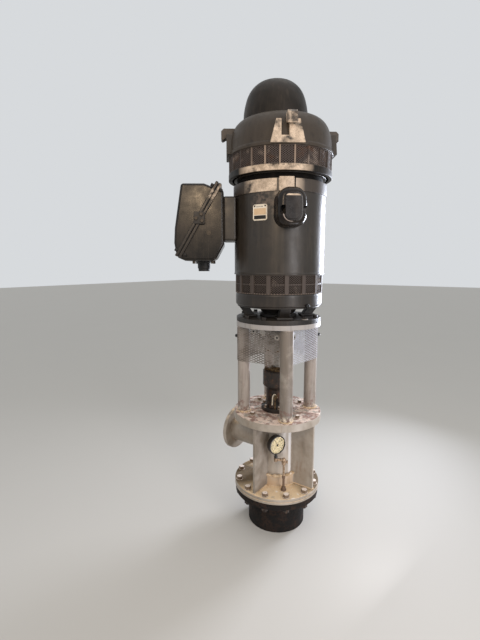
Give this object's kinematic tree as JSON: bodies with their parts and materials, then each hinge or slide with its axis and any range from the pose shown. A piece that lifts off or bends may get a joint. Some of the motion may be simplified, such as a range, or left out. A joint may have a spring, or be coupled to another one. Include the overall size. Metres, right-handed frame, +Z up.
{
  "type": "wellhead pump",
  "caption": "Vertical electric motor on a fabricated discharge head with columns, shaft guard and side nozzle, standing on a flanged well casing.",
  "frame": {"origin": "centre of the well casing's lower end, at ground level on the pump's axis", "axes": "+Z up along the drive shaft, -X along the discharge nozzle, +Y to the right of someone who looks out along the nozzle"},
  "size_m": [0.8737, 0.7988, 2.648],
  "materials": {
    "rusty_casing": "rusted bare steel",
    "gasket": "dull black sheet",
    "head_paint": "warm grey paint with rust stains",
    "column_paint": "worn grey paint",
    "stuffing_iron": "rough stained casting",
    "gland_brass": "dull",
    "shaft_steel": "turned steel",
    "guard_sheet": "zinc-coated expanded metal",
    "motor_paint": "dark brown-grey semi-gloss paint",
    "motor_grille": "dark paint with rust",
    "hub_iron": "dark cast iron",
    "plate_metal": "plain satin plate",
    "gauge_case": "dark case with a cream dial"
  },
  "bodies": {
    "frame": {"well_casing": "rusty_casing", "casing_flange": "rusty_casing", "flange_gasket": "gasket", "base_flange": "head_paint", "base_collar": "head_paint", "body_pipe": "head_paint", "rib_right": "head_paint", "rib_back": "head_paint", "rib_left": "head_paint", "discharge_nozzle": "head_paint", "discharge_flange": "head_paint", "middle_flange": "head_paint", "column_right": "column_paint", "column_back": "column_paint", "column_left": "column_paint", "column_front": "column_paint", "stuffing_box": "stuffing_iron", "packing_gland": "gland_brass", "guard_right": "guard_sheet", "guard_left": "guard_sheet", "motor_ring": "column_paint", "motor_flange": "motor_paint", "motor_frame": "motor_paint", "lower_band": "motor_paint", "lower_grille": "motor_grille", "motor_barrel": "motor_paint", "barrel_pad_right": "motor_paint", "barrel_pad_back": "motor_paint", "barrel_pad_left": "motor_paint", "barrel_pad_front": "motor_paint", "hood_ring": "motor_paint", "hood_grille": "motor_grille", "hood": "motor_paint", "hood_dome": "motor_paint", "lifting_lug_right": "motor_paint", "lifting_lug_back": "motor_paint", "lifting_lug_left": "motor_paint", "lifting_lug_front": "motor_paint", "terminal_box_cover": "motor_paint", "terminal_box_base": "motor_paint", "terminal_box_neck": "motor_paint", "conduit_hub": "hub_iron", "bearing_cover": "motor_paint", "nameplate": "plate_metal", "gauge_pipe": "stuffing_iron", "gauge_cock": "gland_brass", "pressure_gauge": "gauge_case"},
    "rotor": {"drive_shaft": "shaft_steel", "shaft_coupling": "shaft_steel"}
  },
  "joints": [
    {"name": "shaft_turn", "type": "hinge", "parent": "frame", "child": "rotor", "pos_m": [0, 0, 1.1], "axis": [0, 0, 1], "continuous": true}
  ]
}
